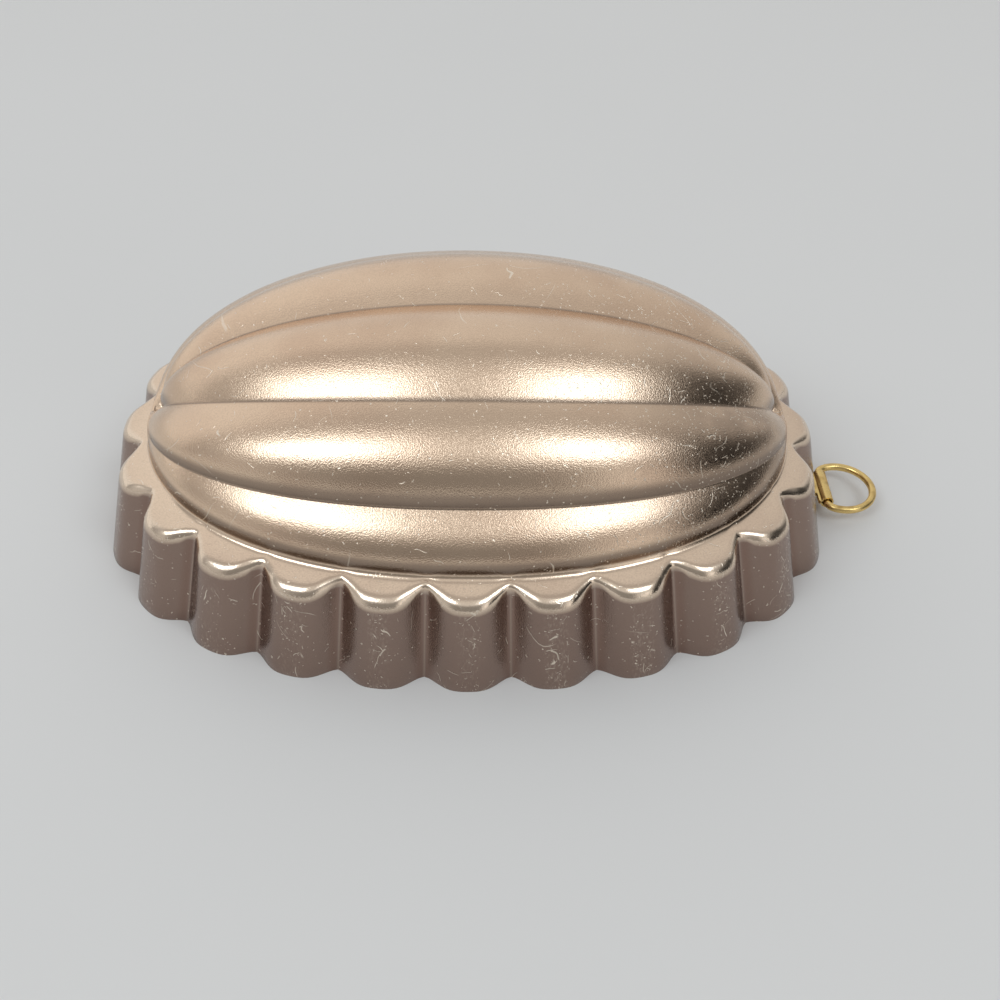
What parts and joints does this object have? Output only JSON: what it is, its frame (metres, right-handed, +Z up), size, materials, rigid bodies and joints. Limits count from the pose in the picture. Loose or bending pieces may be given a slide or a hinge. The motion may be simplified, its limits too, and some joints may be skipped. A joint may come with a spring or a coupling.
{
  "type": "jelly mould",
  "caption": "Oval half-melon jelly mould of pressed anodised aluminium with a lobed dome, a scalloped ledge, a fluted skirt and a brass hanging ring.",
  "frame": {"origin": "centre of the whole part's bounding box in X and Y, on the plane of the rim that it stands on", "axes": "+X along the melon towards the hanging ring, +Y across it, +Z up from the rim to the dome"},
  "size_m": [0.2056, 0.131, 0.0667],
  "materials": {
    "anodised_aluminium": "satin copper-tone anodising with fine scratches",
    "brass": "polished, lightly worn"
  },
  "bodies": {
    "mould": {"mould_shell": "anodised_aluminium", "hanger_strap": "brass"},
    "ring": {"hanging_ring": "brass"}
  },
  "joints": [
    {"name": "ring_hinge", "type": "hinge", "parent": "mould", "child": "ring", "pos_m": [0.08849, 0, 0.0045], "axis": [0, -1, 0], "range_deg": [-127, 109]}
  ]
}
